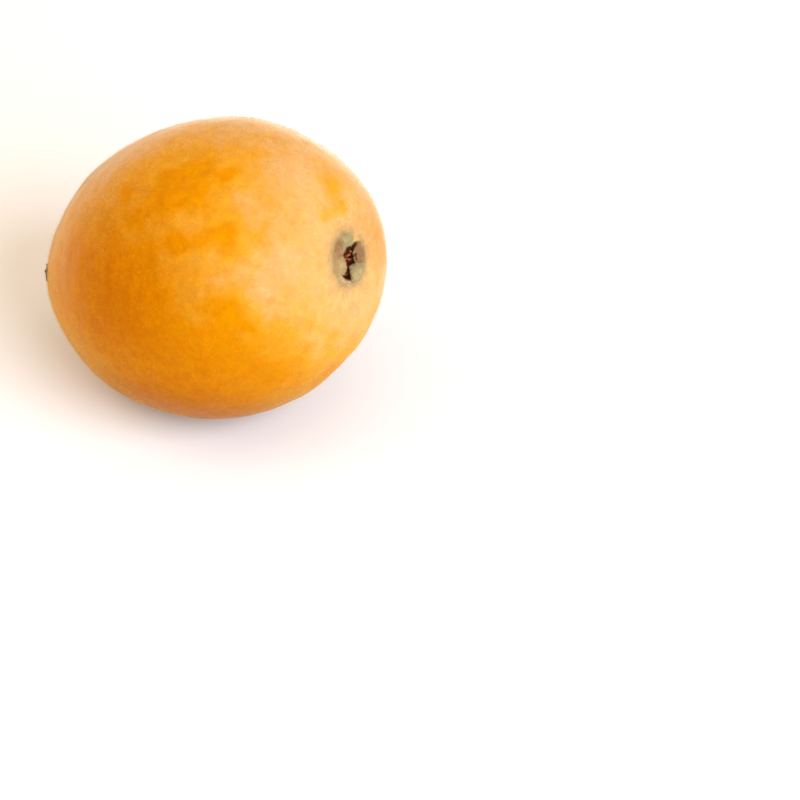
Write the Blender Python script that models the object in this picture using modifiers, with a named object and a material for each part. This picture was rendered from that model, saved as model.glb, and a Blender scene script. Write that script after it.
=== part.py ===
"""Loquat: one whole ripe fruit with its closed calyx and the stub of its stem, lying on its side.

Metres, +Z up. The origin is in the middle of the small flat spot that the fruit rests on.
The fruit's own axis runs along +X from the stem end to the flower end, and rises towards it.
Each shape below is made about that axis: local +Z points out of the flower end.
"""

import math
import random

import bmesh
import bpy
from mathutils import Matrix, Vector

# The fruit
HALF_LENGTH = 0.0256
BELLY_RADIUS = 0.0199
FLOWER_END_FULLNESS = 0.053
END_SLIMNESS = 0.11
SHOULDER_FULLNESS = 0.026
AXIS_BEND = 0.00065
FULL_SIDE = math.radians(146.0)
AXIS_RISE = math.radians(27.0)
FLAT_SPOT_DEPTH = 0.0009

# Soft ridges that run from the calyx over the shoulder
RIDGES = 5
RIDGE_HEIGHT = 0.00022
RIDGE_REACH = math.radians(34.0)

# The basin round the calyx and the neck round the stem
BASIN_DEPTH = 0.0016
BASIN_RADIUS = 0.0058
NECK_HEIGHT = 0.0005
NECK_RADIUS = 0.0042

# The calyx, whose middle lies a little off the axis, and the pocket it sits in
CALYX_SHIFT = 0.0008
CALYX_SHIFT_SIDE = math.radians(295.0)
GAP = 0.0003
CUP_RADIUS = 0.0037
CUP_WALL = 0.0011
CUP_WALL_MIDDLE = CUP_RADIUS - CUP_WALL / 2.0
CUP_FLOOR = 0.0008
CUP_FLOOR_SLOPE = 0.3
CUP_DEPTH = 0.0031
CUP_RIM = HALF_LENGTH - BASIN_DEPTH - 0.0001

# Five sepals stand in the cup's wall and fold in over the cup
SEPAL_THICKNESS = 0.0007
SEPAL_RISE = 0.0007
SEPAL_TIP_DROP = 0.0005
SEPAL_ROOT_DEPTH = 0.0008
SEPAL_ROOT_SHARE = 0.15
SEPAL_CROWN = 0.0003
SEPAL_TAPER = 0.25
TOP_SEPAL = math.radians(148.0)
SEPAL_STEP = math.radians(72.0)

# Each sepal's distance from its tip to the middle, half spread and turn in degrees
SEPALS = (
    (0.0013, 33.0, 0.0),
    (0.0014, 31.0, 0.0),
    (0.0008, 30.0, -4.0),
    (0.0006, 30.0, 4.0),
    (0.0011, 31.0, 0.0),
)

# The dried stamens at the bottom of the cup
TUFT_RADIUS = 0.0019
TUFT_HEIGHT = 0.0010
TUFT_BASE = 0.0003
FILAMENTS = 9
FILAMENT_RADIUS = 0.00033
FILAMENT_LENGTH = 0.0019
FILAMENT_LEAN = math.radians(24.0)
FILAMENT_SEED = 7

# The stem stub
STEM_RADIUS = 0.0018
STEM_FOOT_RADIUS = 0.0022
STEM_END_FLARE = 0.12
STEM_SEAT_DEPTH = 0.0012
STEM_LENGTH = 0.0036
STEM_BEND = 0.001
STEM_BEND_SIDE = math.radians(158.0)
STEM_BREAK_DEPTH = 0.0007
STEM_BREAK_TILT = math.radians(22.0)
STEM_STEPS = 8

SKIN_MERIDIANS = 64
SKIN_RINGS = 46
RING_CROWDING = 0.2
ROUND_STEPS = 32
WELD = 1e-6


def clear_scene():
    for thing in list(bpy.data.objects):
        bpy.data.objects.remove(thing, do_unlink=True)


def new_collection(name):
    collection = bpy.data.collections.new(name)
    bpy.context.scene.collection.children.link(collection)
    return collection


def new_material(name, color, roughness):
    material = bpy.data.materials.new(name)
    material.use_nodes = True
    shader = material.node_tree.nodes["Principled BSDF"]
    shader.inputs["Base Color"].default_value = (*color, 1.0)
    shader.inputs["Roughness"].default_value = roughness
    shader.inputs["Metallic"].default_value = 0.0
    return material


def new_object(name, mesh, collection, parent=None, material=None):
    thing = bpy.data.objects.new(name, mesh)
    collection.objects.link(thing)
    thing.parent = parent
    if material:
        mesh.materials.append(material)
    return thing


def mesh_from(builder, name):
    mesh = bpy.data.meshes.new(name)
    builder.to_mesh(mesh)
    builder.free()
    mesh.shade_smooth()
    return mesh


def mark_as_cutter(thing):
    thing.hide_render = True
    thing.display_type = "WIRE"


def cut(thing, cutter):
    mark_as_cutter(cutter)
    boolean = thing.modifiers.new("cut by " + cutter.name, "BOOLEAN")
    boolean.operation = "DIFFERENCE"
    boolean.object = cutter


def evaluated_mesh(thing):
    depsgraph = bpy.context.evaluated_depsgraph_get()
    return bpy.data.meshes.new_from_object(thing.evaluated_get(depsgraph))


def weld(mesh):
    """Joins the points of a curve's loose caps to its tube."""
    builder = bmesh.new()
    builder.from_mesh(mesh)
    bmesh.ops.remove_doubles(builder, verts=builder.verts, dist=WELD)
    builder.to_mesh(mesh)
    builder.free()


def fuse(thing, pieces):
    """Joins every object in the collection of pieces to the object and removes the pieces."""
    union = thing.modifiers.new("fuse", "BOOLEAN")
    union.operation = "UNION"
    union.operand_type = "COLLECTION"
    union.collection = pieces
    union.solver = "MANIFOLD"
    mesh = evaluated_mesh(thing)
    thing.modifiers.clear()
    thing.data = mesh
    for piece in list(pieces.objects):
        bpy.data.objects.remove(piece, do_unlink=True)
    bpy.data.collections.remove(pieces)


def towards(side, distance):
    """A point beside the axis, at an angle about it."""
    return Vector((distance * math.cos(side), distance * math.sin(side), 0.0))


def skin_point(along, around):
    """A point on the skin: along runs from the flower end to the stem end, around about the axis."""
    rise = math.cos(along)
    lopsided = SHOULDER_FULLNESS * math.cos(around - FULL_SIDE)
    swell = 1.0 + (FLOWER_END_FULLNESS + lopsided) * rise - END_SLIMNESS * rise * rise
    radius = BELLY_RADIUS * math.sin(along) * swell
    fade = math.exp(-((along / RIDGE_REACH) ** 2)) * min(1.0, along / RIDGE_REACH)
    radius += RIDGE_HEIGHT * fade * math.cos(RIDGES * (around - TOP_SEPAL))
    point = towards(around, radius) + towards(FULL_SIDE, AXIS_BEND * rise * rise)
    point.z = HALF_LENGTH * rise
    if rise > 0.0:
        from_calyx = (point - calyx_middle()).to_2d().length
        point.z -= BASIN_DEPTH * math.exp(-((from_calyx / BASIN_RADIUS) ** 2))
    else:
        point.z -= NECK_HEIGHT * math.exp(-((radius / NECK_RADIUS) ** 2))
    return point


def calyx_middle():
    return towards(CALYX_SHIFT_SIDE, CALYX_SHIFT) + Vector((0.0, 0.0, CUP_RIM))


def stem_foot():
    """The middle of the stem end, where the skin meets the stem."""
    return skin_point(math.pi, 0.0)


def fruit_place():
    """Turns the fruit onto its side and lowers it until its lowest point is pressed flat."""
    turn = Matrix.Rotation(math.pi / 2.0 - AXIS_RISE, 4, "Y")
    steps = 180
    lowest = Vector()
    for i in range(steps):
        for j in range(steps):
            point = turn @ skin_point(math.pi * i / steps, math.tau * j / steps)
            if point.z < lowest.z:
                lowest = point
    lowest.z += FLAT_SPOT_DEPTH
    return Matrix.Translation(-lowest) @ turn


def make_fruit(parts, cutters, axis):
    builder = bmesh.new()
    bmesh.ops.create_uvsphere(
        builder, u_segments=SKIN_MERIDIANS, v_segments=SKIN_RINGS, radius=1.0
    )
    for vertex in builder.verts:
        along = math.acos(max(-1.0, min(1.0, vertex.co.z)))
        along -= RING_CROWDING * math.sin(2.0 * along)
        vertex.co = skin_point(along, math.atan2(vertex.co.y, vertex.co.x))
    skin = new_material("loquat skin", (0.86, 0.38, 0.05), 0.45)
    fruit = new_object("fruit", mesh_from(builder, "fruit"), parts, axis, skin)
    cut(fruit, make_ground(cutters))
    cut(fruit, make_calyx_pocket(cutters, axis))
    cut(fruit, make_stem_seat(cutters, axis))
    return fruit


def make_ground(cutters):
    """A block whose top face is the surface that the fruit lies on."""
    builder = bmesh.new()
    bmesh.ops.create_cube(builder, size=2.0 * HALF_LENGTH)
    ground = new_object("ground", mesh_from(builder, "ground"), cutters)
    ground.location.z = -HALF_LENGTH
    return ground


def drum(name, radius, top, bottom, cutters, axis):
    """A round cutter about the axis between two heights."""
    builder = bmesh.new()
    bmesh.ops.create_cone(
        builder,
        cap_ends=True,
        segments=ROUND_STEPS,
        radius1=radius,
        radius2=radius,
        depth=top - bottom,
    )
    cutter = new_object(name, mesh_from(builder, name), cutters, axis)
    cutter.location.z = (top + bottom) / 2.0
    return cutter


def make_calyx_pocket(cutters, axis):
    pocket = drum(
        "calyx pocket",
        CUP_RADIUS + GAP,
        HALF_LENGTH + CUP_DEPTH,
        CUP_RIM - CUP_DEPTH - GAP,
        cutters,
        axis,
    )
    pocket.location += towards(CALYX_SHIFT_SIDE, CALYX_SHIFT)
    return pocket


def make_stem_seat(cutters, axis):
    foot = stem_foot()
    seat = drum(
        "stem seat",
        STEM_FOOT_RADIUS + GAP,
        foot.z + STEM_SEAT_DEPTH,
        foot.z - STEM_SEAT_DEPTH,
        cutters,
        axis,
    )
    seat.location += Vector((foot.x, foot.y, 0.0))
    return seat


def make_cup(parts, axis, material):
    """The calyx tube that lines the pocket, open at its rim, as a turned profile."""
    inner = CUP_RADIUS - CUP_WALL
    floor = CUP_FLOOR - CUP_DEPTH
    profile = (
        (0.0, floor),
        (inner * (1.0 - CUP_FLOOR_SLOPE), floor),
        (inner, floor + CUP_FLOOR_SLOPE * inner),
        (inner, 0.0),
        (CUP_RADIUS, 0.0),
        (CUP_RADIUS, -CUP_DEPTH),
        (0.0, -CUP_DEPTH),
    )
    builder = bmesh.new()
    corners = [builder.verts.new((radius, 0.0, height)) for radius, height in profile]
    for first, second in zip(corners, corners[1:]):
        builder.edges.new((first, second))
    cup = new_object("calyx", mesh_from(builder, "calyx"), parts, axis, material)
    cup.location = calyx_middle()
    screw = cup.modifiers.new("turn", "SCREW")
    screw.steps = ROUND_STEPS
    screw.render_steps = ROUND_STEPS
    screw.use_merge_vertices = True
    screw.merge_threshold = WELD
    return cup


def sepal_point(share, across, tip_radius, spread):
    """A point on a sepal over +X, which stands in the cup's wall and folds in over the cup.

    share runs from the root to the tip, and across from one edge to the other.
    """
    sunk = max(0.0, 1.0 - share / SEPAL_ROOT_SHARE)
    fold = max(0.0, (share - SEPAL_ROOT_SHARE) / (1.0 - SEPAL_ROOT_SHARE))
    arch = fold * math.pi / 2.0
    reach = tip_radius + (CUP_WALL_MIDDLE - tip_radius) * math.cos(arch)
    height = SEPAL_RISE * math.sin(arch) - SEPAL_ROOT_DEPTH * sunk - SEPAL_TIP_DROP * fold**3
    height += SEPAL_CROWN * (1.0 - across * across) * math.sin(math.pi * fold)
    point = towards(across * spread * (1.0 - SEPAL_TAPER * fold**2), reach)
    point.z = height
    return point


def make_sepal(name, side, tip_radius, spread, pieces, place):
    """One sepal as a bent sheet with its thickness."""
    builder = bmesh.new()
    bmesh.ops.create_grid(builder, x_segments=9, y_segments=6, size=1.0)
    for vertex in builder.verts:
        share = (vertex.co.x + 1.0) / 2.0
        vertex.co = sepal_point(share, -vertex.co.y, tip_radius, spread)
    sepal = new_object(name, mesh_from(builder, name), pieces)
    sepal.matrix_world = place @ Matrix.Rotation(side, 4, "Z")
    solidify = sepal.modifiers.new("thickness", "SOLIDIFY")
    solidify.thickness = SEPAL_THICKNESS
    solidify.offset = 0.0
    return sepal


def make_calyx(parts, axis):
    wool = new_material("calyx wool", (0.38, 0.34, 0.22), 0.9)
    cup = make_cup(parts, axis, wool)
    bpy.context.view_layer.update()
    sepals = new_collection("sepals")
    for i, (tip_radius, half_spread, turn) in enumerate(SEPALS):
        side = TOP_SEPAL + i * SEPAL_STEP + math.radians(turn)
        spread = math.radians(half_spread)
        make_sepal(f"sepal {i + 1}", side, tip_radius, spread, sepals, cup.matrix_world)
    fuse(cup, sepals)
    return cup


def make_stamens(parts, axis):
    """A low crumpled mound with dried filaments that stand out of it."""
    builder = bmesh.new()
    bmesh.ops.create_uvsphere(builder, u_segments=16, v_segments=10, radius=1.0)
    squash = Matrix.Diagonal((TUFT_RADIUS, TUFT_RADIUS, TUFT_HEIGHT, 1.0))
    bmesh.ops.transform(builder, matrix=squash, verts=builder.verts)
    for vertex in builder.verts:
        vertex.co.z = max(vertex.co.z, -TUFT_BASE)
    dried = new_material("dried stamens", (0.09, 0.04, 0.02), 0.85)
    tuft = new_object("stamens", mesh_from(builder, "stamens"), parts, axis, dried)
    tuft.location = calyx_middle()
    tuft.location.z += CUP_FLOOR - CUP_DEPTH + GAP + TUFT_BASE
    bpy.context.view_layer.update()
    filaments = new_collection("filaments")
    draw = random.Random(FILAMENT_SEED)
    for i in range(FILAMENTS):
        side = math.tau * i / FILAMENTS
        lean = FILAMENT_LEAN * draw.uniform(0.2, 1.0)
        builder = bmesh.new()
        bmesh.ops.create_cone(
            builder,
            cap_ends=True,
            segments=6,
            radius1=FILAMENT_RADIUS,
            radius2=FILAMENT_RADIUS,
            depth=FILAMENT_LENGTH * draw.uniform(0.75, 1.0),
        )
        name = f"filament {i + 1}"
        filament = new_object(name, mesh_from(builder, name), filaments)
        root = towards(side, TUFT_RADIUS * draw.uniform(0.25, 0.55))
        tilt = Matrix.Rotation(side, 4, "Z") @ Matrix.Rotation(lean, 4, "Y")
        root.z = 0.6 * TUFT_HEIGHT
        filament.matrix_world = tuft.matrix_world @ Matrix.Translation(root) @ tilt
    fuse(tuft, filaments)
    return tuft


def stem_points():
    """The stem's middle line from its seat to its broken end, with the radius at each point."""
    foot = stem_foot()
    start = foot + Vector((0.0, 0.0, STEM_SEAT_DEPTH - GAP))
    for i in range(STEM_STEPS + 1):
        share = i / STEM_STEPS
        point = start + towards(STEM_BEND_SIDE, STEM_BEND * share**2)
        point.z -= (STEM_LENGTH + STEM_SEAT_DEPTH) * share
        foot_flare = (STEM_FOOT_RADIUS / STEM_RADIUS - 1.0) * (1.0 - share) ** 3
        yield point, 1.0 + foot_flare + STEM_END_FLARE * share**4


def make_stem(parts, cutters, axis):
    curve = bpy.data.curves.new("stem", "CURVE")
    curve.dimensions = "3D"
    curve.bevel_depth = STEM_RADIUS
    curve.bevel_resolution = 5
    curve.use_fill_caps = True
    points = list(stem_points())
    spline = curve.splines.new("POLY")
    spline.points.add(len(points) - 1)
    for control, (point, radius) in zip(spline.points, points):
        control.co = (*point, 1.0)
        control.radius = radius
    line = new_object("stem line", curve, parts, axis)
    bpy.context.view_layer.update()
    bark = new_material("stem bark", (0.16, 0.11, 0.06), 0.85)
    mesh = evaluated_mesh(line)
    weld(mesh)
    stem = new_object("stem", mesh, parts, None, bark)
    stem.matrix_world = line.matrix_world
    bpy.data.objects.remove(line, do_unlink=True)
    cut(stem, make_break(cutters, axis, points[-1][0]))
    return stem


def make_break(cutters, axis, end):
    """A block whose slanted face breaks the stem off across its end."""
    builder = bmesh.new()
    size = 4.0 * STEM_RADIUS
    bmesh.ops.create_cube(builder, size=size)
    block = new_object("stem break", mesh_from(builder, "stem break"), cutters, axis)
    place = Matrix.Translation(end + Vector((0.0, 0.0, STEM_BREAK_DEPTH)))
    tilt = Matrix.Rotation(STEM_BEND_SIDE, 4, "Z") @ Matrix.Rotation(STEM_BREAK_TILT, 4, "Y")
    drop = Matrix.Translation((0.0, 0.0, -0.5 * size))
    block.matrix_local = place @ tilt @ drop
    return block


def main():
    clear_scene()
    parts = new_collection("loquat")
    cutters = new_collection("cutters")
    axis = bpy.data.objects.new("fruit axis", None)
    axis.matrix_world = fruit_place()
    parts.objects.link(axis)
    bpy.context.view_layer.update()
    make_fruit(parts, cutters, axis)
    make_calyx(parts, axis)
    make_stamens(parts, axis)
    make_stem(parts, cutters, axis)


main()
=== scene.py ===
"""Loquat: the looks of one whole ripe fruit, its closed calyx and the stub of its stem.

Metres, +Z up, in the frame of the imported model. Each shape is made about the fruit's own axis,
with local +Z out of the flower end, and then turned into the frame.
"""

import math

import bmesh
import bpy
import numpy as np
from mathutils import Matrix, Vector


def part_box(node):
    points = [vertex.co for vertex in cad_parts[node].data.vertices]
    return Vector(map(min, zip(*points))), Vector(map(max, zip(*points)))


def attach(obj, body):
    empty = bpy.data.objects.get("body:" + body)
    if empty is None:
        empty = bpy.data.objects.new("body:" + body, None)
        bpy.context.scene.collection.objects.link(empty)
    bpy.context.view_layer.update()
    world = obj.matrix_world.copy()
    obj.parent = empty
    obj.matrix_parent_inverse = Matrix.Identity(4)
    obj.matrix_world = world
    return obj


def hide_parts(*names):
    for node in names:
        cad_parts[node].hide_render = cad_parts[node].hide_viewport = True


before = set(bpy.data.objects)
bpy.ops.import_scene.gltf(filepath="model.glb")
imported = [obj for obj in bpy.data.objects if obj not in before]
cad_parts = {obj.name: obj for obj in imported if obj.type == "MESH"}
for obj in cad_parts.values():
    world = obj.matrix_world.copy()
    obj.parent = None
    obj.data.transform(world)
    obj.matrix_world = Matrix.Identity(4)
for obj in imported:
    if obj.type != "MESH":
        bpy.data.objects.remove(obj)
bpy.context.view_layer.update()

# The fruit
HALF_LENGTH = 0.0256
BELLY_RADIUS = 0.0199
FLOWER_END_FULLNESS = 0.053
END_SLIMNESS = 0.11
SHOULDER_FULLNESS = 0.026
AXIS_BEND = 0.00065
FULL_SIDE = math.radians(146.0)
AXIS_RISE = math.radians(27.0)

# Soft ridges that run from the calyx over the shoulder, and the creases beside the calyx
RIDGES = 5
RIDGE_SIDE = math.radians(148.0)
RIDGE_HEIGHT = 0.00022
RIDGE_REACH = math.radians(34.0)
CREASES = 17
CREASE_DEPTH = 0.00004
CREASE_RING = 0.0062
CREASE_RING_WIDTH = 0.0026
CREASE_WANDER = ((0.25, 0.009),)

# The skin's soft relief. This and the other layers of ripples are given as height and wavelength.
RELIEF = ((0.00009, 0.011), (0.00003, 0.0042), (0.000008, 0.0014))

# The basin and pocket of the calyx, and the one fold of skin that lies over its rim
BASIN_DEPTH = 0.0016
BASIN_RADIUS = 0.0058
POCKET_RADIUS = 0.00345
POCKET_LIP = 0.0004
POCKET_DEPTH = 0.0031
LIP_HEIGHT = 0.00008
FOLD_SIDE = math.radians(121.0)
FOLD_WIDTH = math.radians(17.0)
FOLD_REACH = 0.0009
FOLD_RISE = 0.00022
FOLD_MIDDLE = 0.0033
FOLD_SPREAD = 0.001

# The neck and collar of the stem, and the flat spot
NECK_HEIGHT = 0.0005
NECK_RADIUS = 0.0042
COLLAR_HEIGHT = 0.00022
COLLAR_RADIUS = 0.0027
COLLAR_WIDTH = 0.0005
SEAT_RADIUS = 0.0021
SEAT_DEPTH = 0.0006
FLAT_SPOT_ROUNDING = 0.00025
FLAT_SPOT_SETTLING = 0.00002

# How many steps the closed meshes have round their axis and along it, and how much closer the
# skin's rings are at both ends
SKIN_GRID = (400, 246)
SEPAL_GRID = (64, 72)
CUP_GRID = (96, 60)
STEM_GRID = (120, 110)
SKIN_END_DENSITY = 0.12

# The calyx, which is an oval: CALYX_NARROWING times as wide along CALYX_NARROW_SIDE as across it
CALYX_SHIFT = 0.0008
CALYX_SHIFT_SIDE = math.radians(295.0)
CALYX_NARROW_SIDE = math.radians(56.0)
CALYX_NARROWING = 0.87
CUP_RADIUS = 0.0034
CUP_RIM_WIDTH = 0.0008
CUP_RIM = HALF_LENGTH - BASIN_DEPTH - 0.0001
CUP_RIM_RISE = 0.0001
CUP_RIM_WAVES = ((0.00008, 0.0014),)
CUP_DEPTH = 0.0031
CUP_FLOOR = 0.0008
SEPAL_ROOT_RADIUS = 0.0031
SEPAL_RISE = 0.0005
SEPAL_TIP_DROP = 0.0005
SEPAL_ROOT_DEPTH = 0.0008
SEPAL_ROOT_SHARE = 0.15
SEPAL_CROWN = 0.0003
SEPAL_HALF_THICKNESS = 0.00036
SEPAL_LEAST_REACH = 0.0009
SEPAL_FOLD_HEIGHT = 0.00006
SEPAL_WRINKLES = ((0.00006, 0.0012), (0.00003, 0.0005))

# Each sepal: degrees round the axis at its root and tip, half widths there and distance of the tip
# from the middle in metres, then how much its edges curl, its greenness and its redness.
SEPALS = (
    (166.0, 168.0, 0.00190, 0.00150, 0.00150, 0.00012, 0.80, 0.00),
    (214.0, 212.0, 0.00150, 0.00100, 0.00195, 0.00020, 0.05, 0.90),
    (258.0, 254.0, 0.00130, 0.00095, 0.00130, 0.00015, 0.20, 0.10),
    (12.0, -4.0, 0.00210, 0.00070, 0.00090, 0.00015, 0.50, 0.00),
    (80.0, 70.0, 0.00155, 0.00105, 0.00130, 0.00020, 0.00, 0.80),
)

# The dried stamens, and where the tallest of them stand
STAMENS = 46
STAMEN_BED_RADIUS = 0.0023
STAMEN_LENGTHS = (0.0014, 0.0022)
STAMEN_RADII = (0.00011, 0.00018)
STAMEN_LEAN = 0.0005
STAMEN_INWARD = 0.3
STAMEN_CURL = 0.0004
STAMEN_ROOT_DEPTH = 0.0002
TALL_STAMENS = np.array([0.0001, 0.0013])
TALL_STAMENS_REACH = 0.0011
TALL_STAMENS_RISE = 0.0007

# The stem stub
STEM_RADIUS = 0.0018
STEM_FOOT_RADIUS = 0.0022
STEM_END_FLARE = 0.12
STEM_SEAT_DEPTH = 0.0012
STEM_LENGTH = 0.0036
STEM_BEND = 0.001
STEM_BEND_SIDE = math.radians(158.0)
STEM_BREAK_DEPTH = 0.0007
STEM_BREAK_TILT = math.radians(22.0)
STEM_SIDE_SHARE = 0.72
BARK_RELIEF = ((0.00007, 0.0012), (0.00003, 0.0005))
GAP = 0.0003

# The camera, which sees the photograph's frame of 800 by 800 pixels
CAMERA_TURN = math.radians(30.0)
CAMERA_HEIGHT = math.radians(40.0)
CAMERA_DISTANCE = 0.42
PIXELS_PER_METRE = 7500.0
FRAME_PIXELS = 800.0
SENSOR_WIDTH_MM = 36.0
FRUIT_PIXEL = (213.0, 270.0)

# The sky's colour, and its brightness at the horizon and overhead
SKY_COLOR = (1.0, 0.82, 0.65, 1.0)
SKY_HORIZON = 0.55
SKY_OVERHEAD = 1.0

# How deep orange blotches lie on the skin: degrees from the flower end, degrees round the axis,
# radius in metres and strength. Negative strength is a pale blotch.
BLOTCHES = (
    (105, 245, 0.0078, 0.51),
    (82, 258, 0.0066, 0.58),
    (91, 285, 0.0061, 0.48),
    (63, 278, 0.0054, 0.55),
    (81, 301, 0.0061, 0.48),
    (57, 263, 0.0030, 0.29),
    (55, 265, 0.0021, 0.46),
    (60, 306, 0.0057, 0.65),
    (79, 236, 0.0046, 0.43),
    (65, 199, 0.0030, 0.57),
    (73, 211, 0.0038, 0.53),
    (62, 213, 0.0020, 0.46),
    (54, 199, 0.0015, 0.52),
    (51, 228, 0.0025, 0.49),
    (66, 231, 0.0017, 0.54),
    (87, 223, 0.0024, 0.26),
    (86, 210, 0.0015, 0.37),
    (101, 233, 0.0018, 0.31),
    (99, 243, 0.0021, -0.23),
    (26, 158, 0.0024, 0.34),
    (18, 155, 0.0012, 0.50),
    (18, 198, 0.0010, 0.46),
    (65, 222, 0.0016, -0.23),
    (56, 250, 0.0041, -0.29),
    (36, 251, 0.0028, -0.25),
    (36, 176, 0.0040, -0.30),
    (48, 205, 0.0022, -0.20),
    (42, 161, 0.0034, -0.25),
    (62, 168, 0.0040, -0.20),
    (104, 188, 0.0055, -0.36),
    (59, 244, 0.0020, 0.20),
    (112, 238, 0.0040, 0.20),
    (41, 258, 0.0022, -0.12),
    (85, 95, 0.0070, 0.40),
    (70, 58, 0.0050, 0.42),
    (97, 132, 0.0055, 0.35),
    (60, 112, 0.0032, 0.40),
    (48, 82, 0.0026, 0.35),
    (112, 60, 0.0060, 0.40),
    (74, 20, 0.0062, 0.45),
    (100, 2, 0.0072, 0.48),
    (88, 328, 0.0062, 0.50),
    (44, 132, 0.0020, 0.35),
    (122, 104, 0.0038, 0.30),
    (30, 58, 0.0020, 0.30),
    (52, 345, 0.0034, 0.40),
)

# The ripest parts, a deeper orange that is partly ripening and partly painted shade on the lower
# left, the bottom and beside the calyx: degrees from the flower end, degrees round the axis, reach
# in metres and depth
RIPE_AND_SHADE_PARTS = ((88, 252, 0.0205, 1.0), (86, 303, 0.024, 1.0), (22, 70, 0.0090, 0.65))
RIPE_AND_SHADE_RAGGED = ((0.0012, 0.012),)

# The skin's bloom: its mean, its ripples, the ragged edge of its patches, and the pale part round
# the calyx
BLOOM = 0.52
BLOOM_RIPPLES = ((0.02, 0.016), (0.03, 0.006))
BLOOM_RAGGED = ((0.0007, 0.004),)
PALE_STRENGTH = 0.70
PALE_REACH = 0.020
PALE_FADE = 0.0265

# How far the tints beside the calyx and the stem reach, and the heights of the upper and low skin
CALYX_TINT_REACH = 0.0052
FOLD_TINT_LOSS = 0.35
STEM_TINT_REACH = 0.005
UPPER_START = 0.013
UPPER_FADE = 0.018
# Painted shade: below these heights the skin is darkened towards the floor.
PAINTED_SHADE_START = 0.018
PAINTED_SHADE_FADE = 0.013

# The calyx wool. A hair's size is its length and radius.
WOOL_HAIRS = 9000
WOOL_SIZE = (0.00028, 0.000014)
WOOL_SCATTER = 0.00003
HALO_HAIRS = 3600
HALO_START = 0.0033
HALO_WIDTH = 0.0007
HALO_OVERHANG = 0.0001
HALO_SIZE = (0.0003, 0.000012)
RIM_HAIRS = 3500

# The wool on the stem's bark
STEM_HAIRS = 9000
STEM_WOOL_SIZE = (0.00032, 0.000014)
STEM_WOOL_SCATTER = 0.00004

# The down, and how much of it is left in each place
DOWN_SPOTS = 190000
DOWN_PIECES = 3
DOWN_LENGTH = 0.0003
DOWN_RADIUS = 0.000011
DOWN_ROOT_DEPTH = 0.00002
DOWN_LEAN = 0.55
DOWN_LEAN_WAVES = ((0.35, 0.003),)
DOWN_SIDEWAYS = 0.35
DOWN_LEAST = 0.06
DOWN_ON_PALE = 0.75
# Down lost where the skin is deeper orange, which is partly ripe and partly painted shade
DOWN_RIPE_AND_SHADE_LOSS = 0.6
DOWN_BY_STEM = 0.5
DOWN_STEM_REACH = 0.006
DOWN_LOW_SHARE = 0.5
DOWN_LOW_END = 0.008
DOWN_LOW_FADE = 0.016
DOWN_CLEAR_OF_CALYX = 0.0034
DOWN_CLEAR_OF_STEM = 0.0024

# The lamps: direction, angle above the floor, distance, size, watts and colour
KEY_LAMP = (math.radians(-18.0), math.radians(30.0), 0.9, 0.74, 12.5, (0.70, 0.84, 1.0))
FILL_LAMP = (math.radians(215.0), math.radians(48.0), 1.0, 0.9, 2.9, (1.0, 0.80, 0.58))

# The floor
FLOOR_HALF_SIZE = 1.5
FLOOR_COLOR = (0.85, 0.85, 0.85, 1.0)

SEED = 11


def towards(side, distance):
    """An offset across the fruit's axis."""
    return np.array([distance * math.cos(side), distance * math.sin(side), 0.0])


def smooth_step(value):
    value = np.clip(value, 0.0, 1.0)
    return value * value * (3.0 - 2.0 * value)


def ripples(points, wavelength, seed, waves=24):
    """Smooth noise about as large as -1 to 1: waves of one length in random directions."""
    draw = np.random.default_rng(seed)
    directions = draw.normal(size=(waves, 3))
    directions /= np.linalg.norm(directions, axis=1)[:, None]
    lengths = wavelength * draw.uniform(0.7, 1.4, waves)
    phases = draw.uniform(0.0, math.tau, waves)
    angles = points @ (directions * (math.tau / lengths)[:, None]).T + phases
    return np.sin(angles).sum(axis=1) / math.sqrt(waves)


def rippled(points, layers, seed, start=0.0):
    """A start value with layers of ripples on it, each with a seed of its own."""
    for k, (height, wavelength) in enumerate(layers):
        start = start + height * ripples(points, wavelength, seed + k)
    return start


def calyx_middle():
    """The middle of the calyx's rim."""
    return towards(CALYX_SHIFT_SIDE, CALYX_SHIFT) + np.array([0.0, 0.0, CUP_RIM])


def beside(points, middle):
    """Distance of points from a line through the middle along the axis, and their side."""
    offset = points[:, :2] - middle[:2]
    return np.linalg.norm(offset, axis=1), np.arctan2(offset[:, 1], offset[:, 0])


def narrowed(offsets, factor=CALYX_NARROWING):
    """Offsets from the calyx's middle, drawn together along its narrow side."""
    side = towards(CALYX_NARROW_SIDE, 1.0)
    return offsets + ((factor - 1.0) * (offsets @ side))[:, None] * side


def beside_calyx(points):
    """Distance from the calyx's axis as it would be if the calyx were round, and the side."""
    return beside(narrowed(points - calyx_middle(), 1.0 / CALYX_NARROWING), np.zeros(3))


def skin_points(along, around):
    """The skin's even form: along runs from the flower end to the stem end, in radians."""
    rise = np.cos(along)
    lopsided = SHOULDER_FULLNESS * np.cos(around - FULL_SIDE)
    swell = 1.0 + (FLOWER_END_FULLNESS + lopsided) * rise - END_SLIMNESS * rise * rise
    radius = BELLY_RADIUS * np.sin(along) * swell
    fade = np.exp(-((along / RIDGE_REACH) ** 2)) * np.minimum(1.0, along / RIDGE_REACH)
    radius += RIDGE_HEIGHT * fade * np.cos(RIDGES * (around - RIDGE_SIDE))
    lean = towards(FULL_SIDE, AXIS_BEND)
    points = np.column_stack(
        [
            radius * np.cos(around) + lean[0] * rise * rise,
            radius * np.sin(around) + lean[1] * rise * rise,
            HALF_LENGTH * rise,
        ]
    )
    from_calyx, _ = beside(points, calyx_middle())
    flower_half = rise > 0.0
    basin = BASIN_DEPTH * np.exp(-((from_calyx / BASIN_RADIUS) ** 2))
    neck = NECK_HEIGHT * np.exp(-((radius / NECK_RADIUS) ** 2))
    points[:, 2] -= np.where(flower_half, basin, neck)
    return points


def stem_foot():
    """Where the fruit's even form ends at the stem."""
    return skin_points(np.array([math.pi]), np.array([0.0]))[0]


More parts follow.
